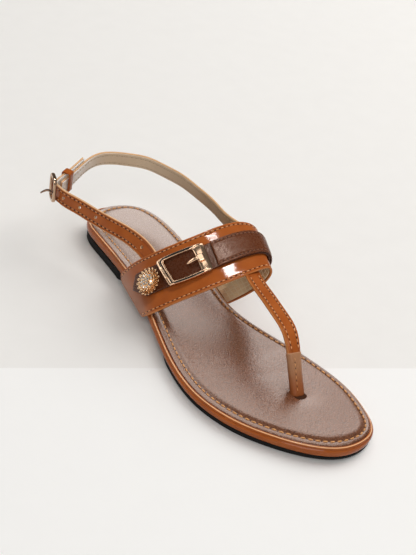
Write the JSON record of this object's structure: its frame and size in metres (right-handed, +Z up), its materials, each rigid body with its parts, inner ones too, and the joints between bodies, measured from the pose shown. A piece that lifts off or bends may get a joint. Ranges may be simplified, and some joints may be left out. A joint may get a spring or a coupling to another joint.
{
  "type": "toe post sandal",
  "caption": "Flat toe post sandal: wrapped sole with a low heel, tan instep band under a dark buckled strap and rosette, toe strap to a post, and a buckled sling round the heel.",
  "frame": {"origin": "on the floor under the middle of the sandal's box", "axes": "+Z up, the toe points to -Y and the heel to +Y, +X is the medial side of the right foot"},
  "size_m": [0.0898, 0.2642, 0.057],
  "materials": {
    "black_rubber": "matt black rubber",
    "tan_patent": "glossy tan patent leather",
    "footbed": "pebbled brown leatherette with a soft sheen",
    "dark_leather": "semi-gloss dark brown grained leather",
    "rose_gold": "polished rose gold plating"
  },
  "bodies": {
    "root": {"outsole": "black_rubber", "midsole": "tan_patent", "insole": "footbed", "upper": "tan_patent", "overlay_strap": "dark_leather", "strap_fold": "dark_leather", "vamp_buckle": "rose_gold", "vamp_prong": "rose_gold", "rosette": "rose_gold", "ankle_buckle": "rose_gold", "ankle_prong": "rose_gold", "ankle_keeper": "tan_patent"}
  },
  "joints": []
}
